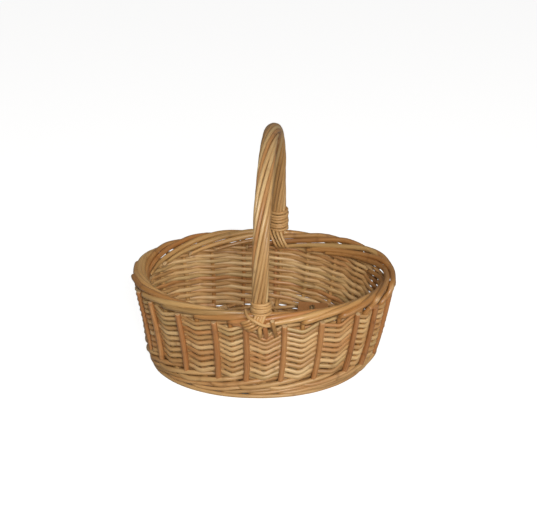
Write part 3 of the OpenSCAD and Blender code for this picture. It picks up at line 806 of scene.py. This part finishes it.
h = rim_h
yf, yb = -arch_r, arch_r
pc = Piece()
for k in range(4):      # strands that leave the binding and dive under the crossing one
    x = 4.4 + 3.7 * k
    pc.add([[x + 1.2, yf - 8.5, h + 0.5, 1.8], [x + 0.2, yf - 11.3, h - 1.4, 2.0], [x - 1.8, yf - 13.4, h - 6, 2.05], [x - 3.2, yf - 13.0, h - 11.0, 1.95], [x - 3.8, yf - 8.5, h - 14.5, 1.6]],
           sides=10, seed=720 + k, ds=1.6, wobble=0.1, ref=(1, 0, 0), tone=0.5 + 0.1 * k)
pc.add([[-9.6, yf + 3, h + 0.6, 1.8], [-8.2, yf - 4, h - 0.6, 1.95], [-4.2, yf - 11.8, h - 2.4, 2.05], [2.0, yf - 15.4, h - 4.4, 2.1], [9.0, yf - 16.4, h - 8.0, 2.1],
        [16.0, yf - 15.6, h - 11.2, 2.0], [21.5, yf - 13.4, h - 12.6, 1.9], [26.5, yf - 8.0, h - 13.4, 1.7]], sides=12, seed=726, ds=1.8, wobble=0.15, ref=(0, 0, 1), tone=0.8)
for k, (x, z) in enumerate(((-4.6, h - 7.4), (-3.0, h - 11.2), (-0.4, h - 14.8), (3.0, h - 18.0))):
    pc.add([[x + 5.5, yf - 10.5, z + 3.0, 1.8], [x + 1.0, yf - 13.8, z + 0.9, 2.0], [x - 4.2, yf - 14.0, z - 1.6, 2.05], [x - 7.8, yf - 11.6, z - 3.4, 2.0], [x - 9.6, yf - 7.0, z - 4.4, 1.7]],
           sides=10, seed=740 + k, ds=1.6, wobble=0.12, ref=(0, 0, 1), tone=(0.5, 0.25, 0.4, 0.3)[k])
pc.add([[29.0, yf + 1, h - 34, 2.6], [28.4, yf - 5.0, h - 26, 2.7], [27.6, yf - 11.5, h - 17, 2.8], [26.6, yf - 14.6, h - 9, 2.9], [26.0, yf - 14.9, h - 4.4, 2.8]], sides=12, seed=750, ds=1.6, wobble=0.1, tone=0.25, ref=(1, 0, 0), cut=(0.1, 0.35))
pc.build("V_tie_front", "tie_front", M_bind)
pc = Piece()
for k in range(4):
    x = -1.2 + 5.1 * k
    pc.add([[x - 1.0, yb - 9.5, h + 4.5, 1.8], [x + 0.3, yb - 12.5, h + 0.5, 2.0], [x + 3.4, yb - 16.8, h - 5.5, 2.05], [x + 6.8, yb - 18.8, h - 12, 2.0], [x + 9.4, yb - 18.2, h - 17.5, 1.9], [x + 10.8, yb - 14, h - 21, 1.6]],
           sides=10, seed=730 + k, ds=1.7, wobble=0.1, ref=(1, 0, 0), tone=0.55 + 0.1 * k)
pc.build("V_tie_back", "tie_back", M_bind)

# ---------------------------------------------------------------- card tag, eyelet and twine
for node, slot, mat in (("tag_card", "kraft_card", card_material()), ("tag_eyelet", "eyelet_brass", eyelet_material())):
    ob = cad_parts[node]
    ob.data.materials.clear()
    ob.data.materials.append(mat)
t_lo, t_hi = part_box("tag_twine")
pc = Piece()
tw = []
c1, s1, c2, s2 = math.cos(math.radians(20)), math.sin(math.radians(20)), math.cos(math.radians(-3)), math.sin(math.radians(-3))
for x, y, z in ((-1, -9.6, -3.4), (-1, -10, 0.6), (-1, -10.7, 2.7), (-1, -12.6, 3.3), (-0.8, -15.2, 3.0), (0, -20, 2.3), (1.5, -29, 2.2), (2.4, -38, 2.2), (3, -49, 2.2)):
    y, z = y * c1 - z * s1, y * s1 + z * c1
    tw.append([65.5 + x * c2 - y * s2, 86 + x * s2 + y * c2, 39.8 + z, 0.8])
pc.add(tw, sides=10, seed=801, ds=1.0, wobble=0.15, knots=0, lump=0.08, oval=0.1)
pc.build("V_tag_twine", "tag_twine", twine_material())

# ---------------------------------------------------------------- floor, light, camera
fl = bpy.data.meshes.new("floor")
fl.from_pydata([(-6, -6, 0), (6, -6, 0), (6, 6, 0), (-6, 6, 0)], [], [(0, 1, 2, 3)])
floor = bpy.data.objects.new("floor", fl)
bpy.context.scene.collection.objects.link(floor)
g = Nodes("floor_white")
p = g.new("ShaderNodeBsdfDiffuse")
p.inputs["Color"].default_value = (0.42, 0.41, 0.40, 1)
e = g.new("ShaderNodeEmission")
pos = g.new("ShaderNodeSeparateXYZ")
g.link(g.new("ShaderNodeNewGeometry").outputs["Position"], pos.inputs[0])
ex = g.math("DIVIDE", g.math("ADD", pos.outputs[0], foot_left * MM), (a_foot + 3) * MM)
ey = g.math("DIVIDE", g.math("ADD", g.math("SUBTRACT", pos.outputs[1], g.math("MULTIPLY", pos.outputs[0], 0.04)), foot_front * MM), (b_foot + 3) * MM)
inside = g.math("ADD", g.math("MULTIPLY", ex, ex), g.math("MULTIPLY", ey, ey))
g.link(g.maprange(inside, 0.97, 1.03, 0.0, 0.86), e.inputs["Strength"])
ad = g.new("ShaderNodeAddShader")
g.link(p.outputs[0], ad.inputs[0])
g.link(e.outputs[0], ad.inputs[1])
mx = g.new("ShaderNodeMixShader")
lp = g.new("ShaderNodeLightPath")
g.link(lp.outputs["Is Camera Ray"], mx.inputs[0])
g.link(p.outputs[0], mx.inputs[1])
g.link(ad.outputs[0], mx.inputs[2])
g.link(mx.outputs[0], g.out.inputs["Surface"])
fl.materials.append(g.m)

w = bpy.data.worlds.new("studio")
bpy.context.scene.world = w
w.use_nodes = True
wt = w.node_tree
bg = wt.nodes["Background"]
bg.inputs[0].default_value = (1.0, 1.0, 1.0, 1)
wl = wt.nodes.new("ShaderNodeLightPath")
wm = wt.nodes.new("ShaderNodeMapRange")
wm.inputs["To Min"].default_value = 0.15
wm.inputs["To Max"].default_value = 1.0
wt.links.new(wl.outputs["Is Camera Ray"], wm.inputs["Value"])
wt.links.new(wm.outputs["Result"], bg.inputs[1])


def area(name, loc, target, size, power, color=(1, 1, 1)):
    d = bpy.data.lights.new(name, "AREA")
    d.shape = "RECTANGLE"
    d.size, d.size_y = size
    d.energy = power
    d.color = color
    o = bpy.data.objects.new(name, d)
    o.location = loc
    o.rotation_euler = (Vector(target) - Vector(loc)).to_track_quat("-Z", "Y").to_euler()
    bpy.context.scene.collection.objects.link(o)
    return o


area("key", (0.47, -2.05, 1.32), (0, 0, 0.1), (0.7, 0.5), 41.5, (1.0, 0.99, 0.97))
area("top", (-0.5, -0.7, 2.2), (0, 0, 0.1), (0.8, 0.8), 4.0, (1.0, 0.985, 0.96))
area("fill", (1.7, -1.3, 0.7), (0, 0, 0.12), (1.0, 1.0), 7.0)

cam_d = bpy.data.cameras.new("camera")
cam = bpy.data.objects.new("camera", cam_d)
bpy.context.scene.collection.objects.link(cam)
az, el, dist = math.radians(5.40), math.radians(24.95), 1.47728
tgt = Vector((0.00746, 0.0, 0.14652 * hi0.z / 0.3345))
back = Vector((math.sin(az) * math.cos(el), -math.cos(az) * math.cos(el), math.sin(el)))
cam.location = tgt + back * dist
cam.rotation_euler = (-back).to_track_quat("-Z", "Y").to_euler()
cam_d.sensor_fit = "HORIZONTAL"
cam_d.sensor_width = 36.0
cam_d.lens = 1088.22 / 537.0 * 36.0
cam_d.clip_end = 50
bpy.context.scene.camera = cam
bpy.context.scene.view_settings.view_transform = "Standard"
bpy.context.scene.view_settings.look = "None"
bpy.context.scene.view_settings.exposure = 0.0
